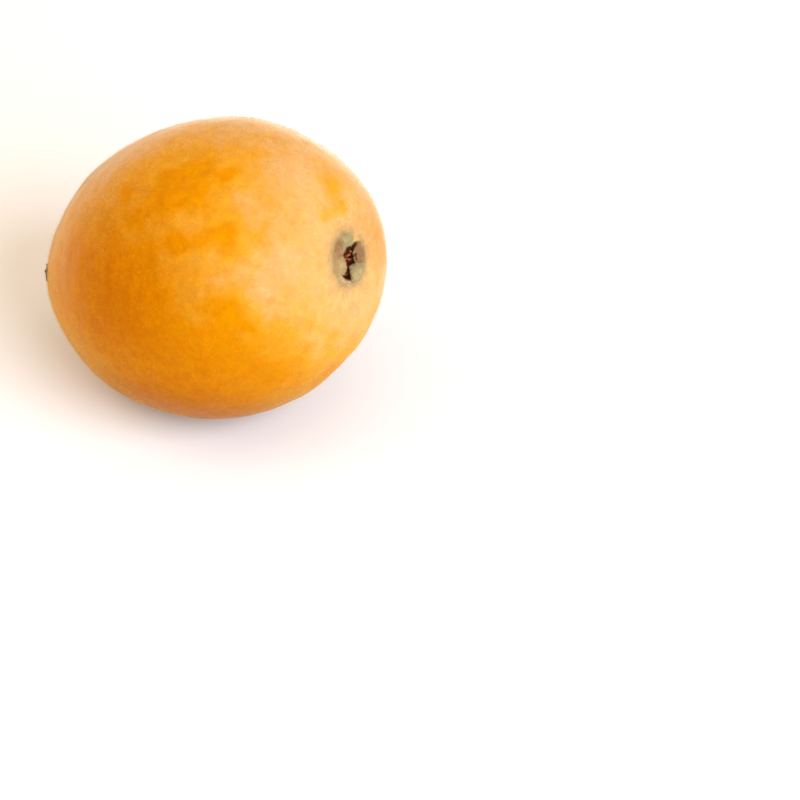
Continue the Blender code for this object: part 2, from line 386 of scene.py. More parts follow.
def outward(points):
    """Directions that point out of the fruit, close to its skin's normals."""
    normals = points / np.array([BELLY_RADIUS**2, BELLY_RADIUS**2, HALF_LENGTH**2])
    return normals / np.linalg.norm(normals, axis=1)[:, None]


def turned(points):
    """From the fruit's own axes to the frame's directions."""
    turn = np.array(Matrix.Rotation(math.pi / 2.0 - AXIS_RISE, 3, "Y"))
    return points @ turn.T


def fruit_middle():
    """The middle of the fruit's axis in the frame, found from the CAD fruit's highest corner."""
    steps = 200
    along, around = np.meshgrid(
        np.linspace(0.0, math.pi, steps), np.linspace(0.0, math.tau, steps, endpoint=False)
    )
    high = turned(skin_points(along.ravel(), around.ravel())).max(axis=0)
    return np.array(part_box("fruit")[1]) - high


MIDDLE = fruit_middle()


def to_frame(points):
    """From the fruit's own axes to the frame."""
    return turned(points) + MIDDLE


def new_piece(name, points, faces, replaced=()):
    """A piece of the fruit from its points in the frame, smooth and riding on the fruit's body."""
    mesh = bpy.data.meshes.new(name)
    mesh.vertices.add(len(points))
    mesh.vertices.foreach_set("co", np.asarray(points, dtype=np.float32).ravel())
    mesh.loops.add(3 * len(faces))
    mesh.loops.foreach_set("vertex_index", np.asarray(faces, dtype=np.int32).ravel())
    mesh.polygons.add(len(faces))
    mesh.polygons.foreach_set("loop_start", np.arange(0, 3 * len(faces), 3, dtype=np.int32))
    mesh.update(calc_edges=True)
    mesh.shade_smooth()
    piece = bpy.data.objects.new(name, mesh)
    bpy.context.scene.collection.objects.link(piece)
    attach(piece, "root")
    if replaced:
        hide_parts(*replaced)
    return piece


def sphere_grid(around_count, along_count):
    """A closed ball's points as angles from its pole and round it, with its triangles."""
    rings = np.linspace(0.0, math.pi, along_count + 1)[1:-1]
    sides = math.tau * np.arange(around_count) / around_count
    along = np.concatenate([[0.0], np.repeat(rings, around_count), [math.pi]])
    around = np.concatenate([[0.0], np.tile(sides, len(rings)), [0.0]])
    here = np.arange(around_count)
    after = (here + 1) % around_count
    last = len(along) - 1
    faces = [np.column_stack([np.zeros_like(here), 1 + here, 1 + after])]
    for i in range(len(rings) - 1):
        a, b = 1 + i * around_count + here, 1 + i * around_count + after
        c, d = a + around_count, b + around_count
        faces += [np.column_stack([a, c, d]), np.column_stack([a, d, b])]
    low = last - around_count
    faces.append(np.column_stack([low + here, np.full_like(here, last), low + after]))
    return along, around, np.concatenate(faces)


def add_values(piece, name, values):
    """Stores a number for each of the piece's points, which its material reads."""
    layer = piece.data.attributes.new(name, "FLOAT", "POINT")
    layer.data.foreach_set("value", np.asarray(values, dtype=np.float32))


def spot_middle(from_flower, side):
    """A point on the skin's even form, from degrees."""
    return skin_points(np.array([math.radians(from_flower)]), np.array([math.radians(side)]))


def bloom(points):
    """How pale and downy the skin is at points in the fruit's own axes: 0 deep orange, 1 pale."""
    from_calyx = np.linalg.norm(points - calyx_middle(), axis=1)
    value = rippled(points, BLOOM_RIPPLES, SEED + 1, BLOOM)
    ragged = rippled(points, BLOOM_RAGGED, SEED + 3)
    value += PALE_STRENGTH * smooth_step((PALE_REACH + ragged - from_calyx) / PALE_FADE)
    for from_flower, side, radius, strength in BLOTCHES:
        middle = spot_middle(from_flower, side)
        distance = np.maximum(np.linalg.norm(points - middle, axis=1) + ragged, 0.0)
        value -= strength * np.exp(-((distance / radius) ** 2))
    return np.clip(value, 0.0, 1.0)


def ripeness_and_shade(points):
    """Deeper orange from 0 to 1: partly ripening, partly painted shade."""
    ragged = rippled(points, RIPE_AND_SHADE_RAGGED, SEED + 8)
    ripe_and_shade = np.zeros(len(points))
    for from_flower, side, reach, depth in RIPE_AND_SHADE_PARTS:
        distance = np.linalg.norm(points - spot_middle(from_flower, side), axis=1) + ragged
        ripe_and_shade = np.maximum(ripe_and_shade, depth * smooth_step((reach - distance) / reach))
    return ripe_and_shade


def folded_in(calyx_side):
    """How far the skin folds in over the calyx's rim on this side: 0 to 1."""
    turn = (calyx_side - FOLD_SIDE + math.pi) % math.tau - math.pi
    return np.exp(-((turn / FOLD_WIDTH) ** 2))


def shaped_skin(along, around):
    """Points of the skin in the fruit's own axes, with its relief, pocket, collar and creases."""
    points = skin_points(along, around)
    from_calyx, calyx_side = beside_calyx(points)
    from_stem, _ = beside(points, stem_foot())
    flower_half = along < math.pi / 2.0
    lip = np.exp(-(((from_calyx - POCKET_RADIUS - POCKET_LIP) / POCKET_LIP) ** 2))
    crease_fade = np.exp(-(((from_calyx - CREASE_RING) / CREASE_RING_WIDTH) ** 2))
    crease_side = rippled(points, CREASE_WANDER, SEED + 4, calyx_side)
    crease = CREASE_DEPTH * crease_fade * np.cos(CREASES * crease_side)
    fold = folded_in(calyx_side)
    pocket_edge = POCKET_RADIUS - FOLD_REACH * fold
    pocket = POCKET_DEPTH * smooth_step((pocket_edge - from_calyx) / POCKET_LIP)
    fold_fade = np.exp(-(((from_calyx - FOLD_MIDDLE) / FOLD_SPREAD) ** 2))
    lip = LIP_HEIGHT * lip + FOLD_RISE * fold * fold_fade
    collar = COLLAR_HEIGHT * np.exp(-(((from_stem - COLLAR_RADIUS) / COLLAR_WIDTH) ** 2))
    seat = SEAT_DEPTH * smooth_step((SEAT_RADIUS - from_stem) / COLLAR_WIDTH)
    relief = rippled(points, RELIEF, SEED + 5)
    normals = outward(points)
    points = points + normals * relief[:, None]
    points[:, 2] += np.where(flower_half, lip + crease - pocket, seat - collar)
    return points


def pressed_flat(points):
    """Presses the skin's lowest part against the surface, with a soft edge."""
    height = points[:, 2]
    soft = 0.5 * (height + np.sqrt(height * height + FLAT_SPOT_ROUNDING**2))
    points = points.copy()
    points[:, 2] = np.maximum(soft - FLAT_SPOT_SETTLING, 0.0)
    return points


def make_skin():
    """The whole skin in one piece, with the values that its material reads."""
    along, around, faces = sphere_grid(*SKIN_GRID)
    along = along - SKIN_END_DENSITY * np.sin(2.0 * along)
    own = shaped_skin(along, around)
    skin = new_piece("skin", pressed_flat(to_frame(own)), faces, ("fruit",))
    from_calyx, calyx_side = beside_calyx(own)
    near_calyx = np.where(along < 1.0, np.exp(-((from_calyx / CALYX_TINT_REACH) ** 2)), 0.0)
    near_calyx = near_calyx * (1.0 - FOLD_TINT_LOSS * folded_in(calyx_side))
    above_floor = to_frame(own)[:, 2]
    from_stem = np.linalg.norm(own - stem_foot(), axis=1)
    add_values(skin, "bloom", bloom(own))
    # Deeper orange, partly ripe skin and partly painted shade on the lower left, bottom and by the
    # calyx
    add_values(skin, "ripe_and_shade", ripeness_and_shade(own))
    add_values(skin, "upper", smooth_step((above_floor - UPPER_START) / UPPER_FADE))
    # Painted shade: how strongly the skin is darkened towards the floor.
    add_values(skin, "low", smooth_step((PAINTED_SHADE_START - above_floor) / PAINTED_SHADE_FADE))
    add_values(skin, "near_calyx", near_calyx)
    add_values(skin, "near_stem", np.exp(-((from_stem / STEM_TINT_REACH) ** 2)))
    skin.data.materials.append(skin_material())


class Tree:
    """A material's node tree, with short calls that add a node and link it."""

    def __init__(self, name):
        self.material = bpy.data.materials.new(name)
        self.material.use_nodes = True
        self.nodes = self.material.node_tree.nodes
        self.shader = self.nodes["Principled BSDF"]

    def link(self, source, target):
        self.material.node_tree.links.new(source, target)

    def put(self, socket, value):
        if isinstance(value, bpy.types.NodeSocket):
            self.link(value, socket)
        else:
            socket.default_value = value

    def value(self, name):
        reader = self.nodes.new("ShaderNodeAttribute")
        reader.attribute_name = name
        return reader.outputs["Fac"]

    def noise(self, scale, detail=3.0, roughness=0.5):
        texture = self.nodes.new("ShaderNodeTexNoise")
        texture.inputs["Scale"].default_value = scale
        texture.inputs["Detail"].default_value = detail
        texture.inputs["Roughness"].default_value = roughness
        point = self.nodes.new("ShaderNodeTexCoord").outputs["Object"]
        self.link(point, texture.inputs["Vector"])
        return texture.outputs["Fac"]

    def remap(self, value, low, high, to_low=0.0, to_high=1.0):
        mapper = self.nodes.new("ShaderNodeMapRange")
        mapper.interpolation_type = "SMOOTHSTEP"
        self.put(mapper.inputs["Value"], value)
        mapper.inputs["From Min"].default_value = low
        mapper.inputs["From Max"].default_value = high
        mapper.inputs["To Min"].default_value = to_low
        mapper.inputs["To Max"].default_value = to_high
        return mapper.outputs["Result"]

    def combine(self, first, second, operation="ADD"):
        maths = self.nodes.new("ShaderNodeMath")
        maths.operation = operation
        self.put(maths.inputs[0], first)
        self.put(maths.inputs[1], second)
        return maths.outputs["Value"]

    def mix(self, share, first, second, blend="MIX"):
        mixer = self.nodes.new("ShaderNodeMix")
        mixer.data_type = "RGBA"
        mixer.blend_type = blend
        self.put(mixer.inputs["Factor"], share)
        self.put(mixer.inputs["A"], first)
        self.put(mixer.inputs["B"], second)
        return mixer.outputs["Result"]

    def bump(self, height, distance, strength, before=None):
        bumper = self.nodes.new("ShaderNodeBump")
        bumper.inputs["Distance"].default_value = distance
        bumper.inputs["Strength"].default_value = strength
        self.link(height, bumper.inputs["Height"])
        if before:
            self.link(before, bumper.inputs["Normal"])
        return bumper.outputs["Normal"]

    def surface(self, color, roughness, specular):
        self.put(self.shader.inputs["Base Color"], color)
        self.put(self.shader.inputs["Roughness"], roughness)
        self.shader.inputs["Specular IOR Level"].default_value = specular
        return self.material


def skin_material():
    """Deep orange to pale skin by its bloom, mottled, tinted at both ends, deepened where ripe and
    in painted shade, and darkened low down as painted shade.
    """
    tree = Tree("loquat skin")
    deep = (0.60, 0.218, 0.0, 1.0)
    golden = (0.62, 0.268, 0.012, 1.0)
    pale = (0.64, 0.338, 0.108, 1.0)
    downy = tree.value("bloom")
    mottle = tree.remap(tree.noise(520.0, 4.0, 0.6), 0.3, 0.7, -0.085, 0.085)
    downy = tree.combine(downy, mottle)
    color = tree.mix(tree.remap(downy, 0.0, 0.5), deep, golden)
    color = tree.mix(tree.remap(downy, 0.45, 1.0), color, pale)
    fine = tree.remap(tree.noise(2300.0, 3.0, 0.65), 0.3, 0.7, 0.96, 1.04)
    broad = tree.remap(tree.noise(800.0, 3.0, 0.6), 0.3, 0.7, 0.95, 1.05)
    color = tree.mix(1.0, color, tree.combine(fine, broad, "MULTIPLY"), "MULTIPLY")
    warmth = tree.remap(tree.noise(560.0, 3.0, 0.6), 0.32, 0.68)
    warmth = tree.mix(warmth, (0.97, 0.93, 0.82, 1.0), (1.03, 1.07, 1.20, 1.0))
    color = tree.mix(tree.remap(downy, 0.5, 1.0, 1.0, 0.3), color, warmth, "MULTIPLY")
    specks = tree.remap(tree.noise(1500.0, 3.0, 0.65), 0.5, 0.8, 0.0, 0.7)
    color = tree.mix(specks, color, tree.mix(1.0, color, (1.12, 1.25, 2.2, 1.0), "MULTIPLY"))
    # Partly painted shade: the ripe tint also darkens the lower left, the bottom and beside the
    # calyx.
    color = tree.mix(tree.value("ripe_and_shade"), color, (0.80, 0.65, 0.40, 1.0), "MULTIPLY")
    # Painted shade: the skin darkens towards the floor by its low value.
    color = tree.mix(tree.value("low"), color, (0.72, 0.69, 0.44, 1.0), "MULTIPLY")
    calyx_tint = (0.62, 0.43, 0.17, 1.0)
    stem_tint = (0.55, 0.36, 0.10, 1.0)
    ragged = tree.remap(tree.noise(900.0, 3.0), 0.2, 0.8, -0.2, 0.2)
    by_calyx = tree.remap(tree.combine(tree.value("near_calyx"), ragged), 0.45, 0.95, 0.0, 0.6)
    by_stem = tree.remap(tree.combine(tree.value("near_stem"), ragged), 0.4, 1.0, 0.0, 0.7)
    color = tree.mix(by_calyx, color, calyx_tint)
    color = tree.mix(by_stem, color, stem_tint)
    pores = tree.bump(tree.noise(2600.0, 2.0), 0.00004, 0.5)
    grain = tree.bump(tree.noise(700.0, 3.0), 0.00008, 0.35, pores)
    tree.link(grain, tree.shader.inputs["Normal"])
    tree.shader.inputs["Specular Tint"].default_value = (1.0, 0.6, 0.15, 1.0)
    tree.shader.inputs["Subsurface Weight"].default_value = 0.45
    tree.shader.inputs["Subsurface Radius"].default_value = (1.0, 0.32, 0.08)
    tree.shader.inputs["Subsurface Scale"].default_value = 0.005
    facing = tree.nodes.new("ShaderNodeLayerWeight")
    facing.inputs["Blend"].default_value = 0.5
    sheen = tree.remap(facing.outputs["Facing"], 0.35, 0.95, 0.0, 1.0)
    sheen = tree.combine(sheen, tree.remap(tree.value("upper"), 0.0, 1.0, 0.08, 1.0), "MULTIPLY")
    tree.link(sheen, tree.shader.inputs["Sheen Weight"])
    tree.shader.inputs["Sheen Roughness"].default_value = 0.4
    tree.shader.inputs["Sheen Tint"].default_value = (0.95, 0.85, 0.66, 1.0)
    return tree.surface(color, tree.remap(downy, 0.0, 1.0, 0.42, 0.6), 0.04)


def down_material():
    """Hair from orange to pale, by the skin's bloom."""
    tree = Tree("down")
    orange = (0.90, 0.46, 0.07, 1.0)
    pale = (0.93, 0.68, 0.36, 1.0)
    mottle = tree.remap(tree.noise(300.0, 2.0), 0.3, 0.7, -0.15, 0.15)
    shade = tree.combine(tree.value("bloom"), mottle)
    color = tree.mix(tree.remap(shade, 0.1, 0.9), orange, pale)
    return tree.surface(color, 0.8, 0.2)


def spots_on_skin(count, draw, share_kept):
    """Random spots spread evenly on the skin, in the fruit's own axes, and thinned by a share."""
    level = draw.uniform(-1.0, 1.0, count)
    along = np.arccos(level)
    around = draw.uniform(0.0, math.tau, count)
    points = shaped_skin(along, around)
    kept = draw.uniform(size=count) < share_kept(points, along)
    return points[kept], along[kept], around[kept]


def skin_normals(along, around):
    """The normals of the skin's even form."""
    step = 1e-3
    ahead = skin_points(along + step, around) - skin_points(along - step, around)
    beyond = skin_points(along, around + step) - skin_points(along, around - step)
    normals = np.cross(ahead, beyond)
    return normals / np.maximum(np.linalg.norm(normals, axis=1), 1e-15)[:, None]


def down_share(points, along):
    """The share of the down that is left: thick at both ends, worn low down and where orange."""
    from_calyx, calyx_side = beside_calyx(points)
    from_stem = np.linalg.norm(points - stem_foot(), axis=1)
    calyx_edge = DOWN_CLEAR_OF_CALYX - FOLD_REACH * folded_in(calyx_side)
    clear_of_calyx = (from_calyx > calyx_edge) | (along > 1.0)
    share = DOWN_LEAST + DOWN_ON_PALE * bloom(points) * (1.0 - DOWN_RIPE_AND_SHADE_LOSS * ripeness_and_shade(points))
    share = share + DOWN_BY_STEM * np.exp(-((from_stem / DOWN_STEM_REACH) ** 2))
    above_low = smooth_step((to_frame(points)[:, 2] - DOWN_LOW_END) / DOWN_LOW_FADE)
    share *= DOWN_LOW_SHARE + (1.0 - DOWN_LOW_SHARE) * above_low
    return np.where(clear_of_calyx & (from_stem > DOWN_CLEAR_OF_STEM), share, 0.0)


def make_down():
    """The skin's down: short pale hairs, each a closed needle, in pieces of equal size."""
    draw = np.random.default_rng(SEED + 80)
    material = down_material()
    own, along, around = spots_on_skin(DOWN_SPOTS, draw, down_share)
    normals = skin_normals(along, around)
    sides = np.cross(normals, draw.normal(size=normals.shape))
    sides /= np.linalg.norm(sides, axis=1)[:, None]
    across = np.cross(normals, sides)
    lean = rippled(own, DOWN_LEAN_WAVES, SEED + 81, DOWN_LEAN)
    comb = np.column_stack([ripples(own, 0.006, SEED + 82 + k) for k in range(3)])
    comb -= normals * (comb * normals).sum(axis=1)[:, None]
    length = draw.uniform(0.6, 1.25, len(own)) * DOWN_LENGTH
    tips = own + length[:, None] * (normals + lean[:, None] * comb + DOWN_SIDEWAYS * sides)
    feet = own - DOWN_ROOT_DEPTH * normals
    corners = []
    for k in range(3):
        angle = math.tau * k / 3.0
        reach = DOWN_RADIUS * (math.cos(angle) * sides + math.sin(angle) * across)
        corners.append(feet + reach)
    hairs = to_frame(np.stack(corners + [tips], axis=1).reshape(-1, 3)).reshape(-1, 4, 3)
    clear = hairs[:, :, 2].min(axis=1) > DOWN_RADIUS
    hairs, shades = hairs[clear], bloom(own)[clear]
    needle = np.array([(0, 1, 3), (1, 2, 3), (2, 0, 3), (0, 2, 1)])
    parts = zip(np.array_split(hairs, DOWN_PIECES), np.array_split(shades, DOWN_PIECES))
    for number, (part, shade) in enumerate(parts, 1):
        faces = needle[None] + 4 * np.arange(len(part))[:, None, None]
        piece = new_piece(f"down_{number}", part.reshape(-1, 3), faces.reshape(-1, 3))
        add_values(piece, "bloom", np.repeat(shade, 4))
        piece.data.materials.append(material)


def sepal_sheet(share, across, sepal):
    """The middle sheet of a sepal from its root on the cup's rim to its tip over the middle."""
    root_side, tip_side, root_width, tip_width, tip_radius, curl = sepal[:6]
    sunk = np.maximum(0.0, 1.0 - share / SEPAL_ROOT_SHARE)
    fold = np.maximum(0.0, (share - SEPAL_ROOT_SHARE) / (1.0 - SEPAL_ROOT_SHARE))
    arch = fold * math.pi / 2.0
    reach = tip_radius + (SEPAL_ROOT_RADIUS - tip_radius) * np.cos(arch)
    height = SEPAL_RISE * np.sin(arch) - SEPAL_ROOT_DEPTH * sunk - SEPAL_TIP_DROP * fold**3
    height = height + SEPAL_CROWN * (1.0 - across * across) * np.sin(math.pi * fold)
    height = height + curl * np.abs(across) ** 3 * np.sin(math.pi * np.minimum(fold * 1.3, 1.0))
    middle = math.radians(root_side) + math.radians(tip_side - root_side) * fold**1.3
    width = root_width + (tip_width - root_width) * fold**2
    side = middle + across * width / np.maximum(reach, SEPAL_LEAST_REACH)
    return np.column_stack([reach * np.cos(side), reach * np.sin(side), height])


def sepal_points(along, around, sepal, seed):
    """A closed sepal: a ball's points spread along, across and through the bent sheet."""
    share = along / math.pi
    across = np.cos(around) * np.sin(along) ** 0.25
    step = 1e-3
    sheet = sepal_sheet(share, across, sepal)
    ahead = sepal_sheet(np.minimum(share + step, 1.0), across, sepal)
    behind = sepal_sheet(np.maximum(share - step, 0.0), across, sepal)
    right = sepal_sheet(share, across + step, sepal)
    left = sepal_sheet(share, across - step, sepal)
    normals = np.cross(right - left, ahead - behind)
    normals /= np.maximum(np.linalg.norm(normals, axis=1), 1e-12)[:, None]
    side = math.radians(sepal[0])
    outer = normals[:, 2] + 0.5 * (normals[:, 0] * math.cos(side) + normals[:, 1] * math.sin(side))
    normals *= np.where(outer < 0.0, -1.0, 1.0)[:, None]
    thickness = SEPAL_HALF_THICKNESS * np.sin(around) * np.sin(along) ** 0.5
    thickness = thickness * (1.0 - 0.3 * share)
    points = sheet + normals * thickness[:, None]
    folds = SEPAL_FOLD_HEIGHT * np.cos(6.0 * across + 2.0 * share + seed)
    folds = folds * np.sin(math.pi * share)
    wrinkles = rippled(points, SEPAL_WRINKLES, seed)
    return points + normals * (folds + wrinkles)[:, None], normals


def make_sepals():
    """The sepals, folded in over the cup, in one piece; gives the felted points for the wool."""
    along, around, faces = sphere_grid(*SEPAL_GRID)
    parts, normals = [], []
    for i, sepal in enumerate(SEPALS):
        own, out = sepal_points(along, around, sepal, SEED + 20 + 3 * i)
        parts.append(narrowed(own) + calyx_middle())
        normals.append(out)
    count = len(along)
    every_face = np.concatenate([faces + i * count for i in range(len(SEPALS))])
    own = np.concatenate(parts)
    sepals = new_piece("sepals", to_frame(own), every_face, ("calyx",))
    rim = np.abs(np.cos(around) * np.sin(along) ** 0.25)
    share = np.tile(along / math.pi, len(SEPALS))
    add_values(sepals, "share", share)
    add_values(sepals, "rim", np.tile(rim, len(SEPALS)))
    tints = np.repeat([sepal[6:8] for sepal in SEPALS], count, axis=0)
    add_values(sepals, "green", tints[:, 0])
    add_values(sepals, "red", tints[:, 1])
    sepals.data.materials.append(sepal_material())
    felted = (np.sin(around) > 0.38) & (along > 0.12 * math.pi) & (along < 0.9 * math.pi)
    felted = np.tile(felted, len(SEPALS))
    root = 0.85 * smooth_step((0.42 - share) / 0.2)
    return own[felted], np.concatenate(normals)[felted], np.column_stack([tints, root])[felted]


def sepal_material():
    """Felt by each sepal's tints, blotched, with a paler root, a brown edge and a dark tip."""
    tree = Tree("sepal felt")
    green = (0.42, 0.34, 0.15, 1.0)
    beige = (0.58, 0.40, 0.18, 1.0)
    pink = (0.42, 0.19, 0.085, 1.0)
    brown = (0.15, 0.07, 0.025, 1.0)
    dark = (0.06, 0.02, 0.006, 1.0)
    grey = (0.46, 0.37, 0.21, 1.0)
    umber = (0.24, 0.15, 0.06, 1.0)
    straw = (0.60, 0.42, 0.18, 1.0)
    felt = tree.mix(tree.value("green"), beige, green)
    felt = tree.mix(tree.value("red"), felt, pink)
    blot = tree.noise(1300.0, 4.0, 0.6)
    felt = tree.mix(tree.remap(blot, 0.4, 0.7, 0.0, 0.5), felt, grey)
    felt = tree.mix(tree.remap(blot, 0.5, 0.3, 0.0, 0.5), felt, umber)
    ragged = tree.remap(tree.noise(2600.0, 3.0), 0.2, 0.8, -0.2, 0.2)
    root = tree.remap(tree.combine(tree.value("share"), ragged), 0.12, 0.42, 0.8, 0.0)
    felt = tree.mix(root, felt, straw)
    rim = tree.combine(tree.value("rim"), ragged)
    color = tree.mix(tree.remap(rim, 0.75, 1.05, 0.0, 0.8), felt, brown)
    tip = tree.combine(tree.value("share"), ragged)
    color = tree.mix(tree.remap(tip, 0.78, 1.0, 0.0, 0.9), color, dark)
    fuzz = tree.bump(tree.noise(7000.0, 3.0, 0.7), 0.00008, 0.6)
    tree.link(fuzz, tree.shader.inputs["Normal"])
    return tree.surface(color, 0.9, 0.1)


def bent_hairs(name, feet, normals, draw, size, material):
    """Short bent hairs with three sides, each closed: a foot, a knee and a point."""
    length, radius = size
    count = len(feet)
    sides = np.cross(normals, draw.normal(size=(count, 3)))
    sides /= np.linalg.norm(sides, axis=1)[:, None]
    across = np.cross(normals, sides)
    reach = (draw.uniform(0.6, 1.3, count) * length)[:, None]
    lean = draw.uniform(0.3, 1.1, count)[:, None]
    bend = draw.normal(0.0, 0.5, (count, 1))
    knee = feet + reach * 0.5 * (normals + 0.5 * lean * sides)
    tip = feet + reach * (0.75 * normals + lean * sides + bend * across)
    rings = []
    for middle, width in ((feet - 0.5 * radius * normals, radius), (knee, 0.8 * radius)):
        for k in range(3):
            angle = math.tau * k / 3.0
            rings.append(middle + width * (math.cos(angle) * sides + math.sin(angle) * across))
    points = np.stack(rings + [tip], axis=1).reshape(-1, 3)
    hair = [(0, 2, 1)]
    for k in range(3):
        after = (k + 1) % 3
        hair += [(k, after, 3 + after), (k, 3 + after, 3 + k), (3 + k, 3 + after, 6)]
    faces = np.array(hair)[None] + 7 * np.arange(count)[:, None, None]
    piece = new_piece(name, to_frame(points), faces.reshape(-1, 3))
    piece.data.materials.append(material)
    return piece


def wool_material(name, dark, light):
    """Wool between two shades, tinted as the sepal that it grows on."""
    tree = Tree(name)
    green = (0.60, 0.50, 0.24, 1.0)
    pink = (0.46, 0.215, 0.095, 1.0)
    straw = (0.88, 0.62, 0.28, 1.0)
    color = tree.mix(tree.noise(900.0, 2.0), dark, light)
    color = tree.mix(tree.value("green"), color, green)
    patches = tree.remap(tree.noise(1500.0, 3.0), 0.35, 0.62, 0.3, 1.0)
    color = tree.mix(tree.combine(tree.value("red"), patches, "MULTIPLY"), color, pink)
    color = tree.mix(tree.value("root"), color, straw)
    return tree.surface(color, 0.9, 0.1)


def rim_wave(own):
    """The soft ups and downs of the cup's rim."""
    return rippled(own, CUP_RIM_WAVES, SEED + 50, CUP_RIM_RISE)


def halo_feet(draw):
    """Feet and normals of the wool on the skin beside the calyx, with less on the fold."""
    side = draw.uniform(0.0, math.tau, HALO_HAIRS)
    reach = HALO_START + np.abs(draw.normal(0.0, HALO_WIDTH, HALO_HAIRS))
    ring = np.column_stack([reach * np.cos(side), reach * np.sin(side), np.zeros(HALO_HAIRS)])
    beyond = narrowed(ring) + calyx_middle() - towards(FULL_SIDE, AXIS_BEND)
    from_axis = np.linalg.norm(beyond[:, :2], axis=1)
    along = np.arcsin(np.clip(from_axis / (BELLY_RADIUS * 0.95), 0.0, 1.0))
    around = np.arctan2(beyond[:, 1], beyond[:, 0])
    own = shaped_skin(along, around)
    from_calyx, _ = beside_calyx(own)
    clear = from_calyx > POCKET_RADIUS - HALO_OVERHANG
    clear &= folded_in(side) < draw.uniform(0.3, 1.6, HALO_HAIRS)
    return own[clear], skin_normals(along[clear], around[clear])


def rim_feet(draw):
    """Feet and normals of the wool on the cup's rim, outside the fold of the skin."""
    side = draw.uniform(0.0, math.tau, RIM_HAIRS)
    side = np.where(folded_in(side) > 0.2, side + math.pi, side)
    tilt = draw.uniform(0.0, math.pi / 2.0, RIM_HAIRS)
    level = np.cos(tilt)
    out = np.column_stack([np.cos(side) * level, np.sin(side) * level, np.sin(tilt)])
    reach = CUP_RADIUS - CUP_RIM_WIDTH / 2.0 * (1.0 - level)
    height = CUP_RIM_WIDTH / 2.0 * (np.sin(tilt) - 1.0)
    rim = np.column_stack([reach * np.cos(side), reach * np.sin(side), height])
    rim[:, 2] += rim_wave(rim)
    return narrowed(rim) + calyx_middle(), out


def make_calyx_wool(felt, felt_normals, tints):
    """The wool on the sepals, and the halo of it on the skin and the rim beside them."""
    draw = np.random.default_rng(SEED + 90)
    chosen = draw.integers(0, len(felt), WOOL_HAIRS)
    feet = felt[chosen] + draw.normal(0.0, WOOL_SCATTER, (WOOL_HAIRS, 3))
    normals = felt_normals[chosen]
    wool = wool_material("calyx wool", (0.56, 0.38, 0.15, 1.0), (0.84, 0.62, 0.30, 1.0))
    halo = wool_material("calyx halo", (0.80, 0.54, 0.22, 1.0), (0.92, 0.70, 0.38, 1.0))
    tuft = bent_hairs("calyx_wool", feet, normals, draw, WOOL_SIZE, wool)
    for k, name in enumerate(("green", "red", "root")):
        add_values(tuft, name, np.repeat(tints[chosen, k], 7))
    skin_feet, skin_out = halo_feet(draw)
    cup_feet, cup_out = rim_feet(draw)
    feet = np.concatenate([skin_feet, cup_feet])
    normals = np.concatenate([skin_out, cup_out])
    bent_hairs("calyx_halo", feet, normals, draw, HALO_SIZE, halo)


def make_cup():
    """The calyx tube under the sepals: a felted rim round a dark, open cup."""
    along, around, faces = sphere_grid(*CUP_GRID)
    turn = along / math.pi
    half_rim = CUP_RIM_WIDTH / 2.0
    floor = CUP_FLOOR - CUP_DEPTH
    bowl = np.clip(turn / 0.4, 0.0, 1.0)
    over = np.clip((turn - 0.4) / 0.2, 0.0, 1.0) * math.pi
    base = np.clip((turn - 0.6) / 0.4, 0.0, 1.0)
    reach = (CUP_RADIUS - CUP_RIM_WIDTH) * np.minimum(1.6 * bowl, 1.0)
    height = floor - (floor + half_rim) * smooth_step((bowl - 0.45) / 0.55)
    round_rim = turn > 0.4
    reach = np.where(round_rim, CUP_RADIUS - half_rim - half_rim * np.cos(over), reach)
    height = np.where(round_rim, half_rim * (np.sin(over) - 1.0), height)
    outside = turn > 0.6
    below_rim = CUP_DEPTH * 0.85 * np.minimum(2.0 * base, 1.0)
    reach = np.where(outside, CUP_RADIUS * (1.0 - base) ** 0.5, reach)
    height = np.where(outside, -half_rim - below_rim, height)
    own = np.column_stack([reach * np.cos(around), reach * np.sin(around), height])
    own[:, 2] += rim_wave(own)
    points = to_frame(narrowed(own) + calyx_middle())
    cup = new_piece("calyx_cup", points, faces, ("calyx",))
    add_values(cup, "rim", smooth_step((turn - 0.46) / 0.06))
    tree = Tree("calyx tube")
    lining = tree.mix(tree.noise(1800.0, 3.0), (0.16, 0.06, 0.02, 1.0), (0.34, 0.14, 0.05, 1.0))
    felt = tree.mix(tree.noise(1500.0, 4.0), (0.40, 0.25, 0.09, 1.0), (0.58, 0.38, 0.15, 1.0))
    color = tree.mix(tree.value("rim"), lining, felt)
    cup.data.materials.append(tree.surface(color, 0.9, 0.2))


def tube_points(path, radii, sides):
    """Rings of points round a path, and one point at each end."""
    tangent = np.gradient(path, axis=0)
    tangent /= np.linalg.norm(tangent, axis=1)[:, None]
    guide = np.array([0.3, 0.9, 0.2])
    first = np.cross(tangent, guide)
    first /= np.linalg.norm(first, axis=1)[:, None]
    second = np.cross(tangent, first)
    angle = (math.tau * np.arange(sides) / sides)[None, :, None]
    ring = np.cos(angle) * first[:, None] + np.sin(angle) * second[:, None]
    points = path[:, None] + ring * radii[:, None, None]
    return np.concatenate([points.reshape(-1, 3), path[:1], path[-1:]])


def tube_faces(rings, sides):
    """The triangles of a closed tube whose points tube_points gives."""
    faces = []
    start, end = rings * sides, rings * sides + 1
    for i in range(rings - 1):
        for j in range(sides):
            a, b = i * sides + j, i * sides + (j + 1) % sides
            c, d = a + sides, b + sides
            faces += [(a, b, d), (a, d, c)]
    last = (rings - 1) * sides
    for j in range(sides):
        after = (j + 1) % sides
        faces += [(start, after, j), (end, last + j, last + after)]
    return np.array(faces)


def join_tubes(tubes, rings, sides):
    """The points and triangles of all the tubes together."""
    faces = tube_faces(rings, sides)
    count = rings * sides + 2
    every = [faces + i * count for i in range(len(tubes))]
    return np.concatenate(tubes), np.concatenate(every)


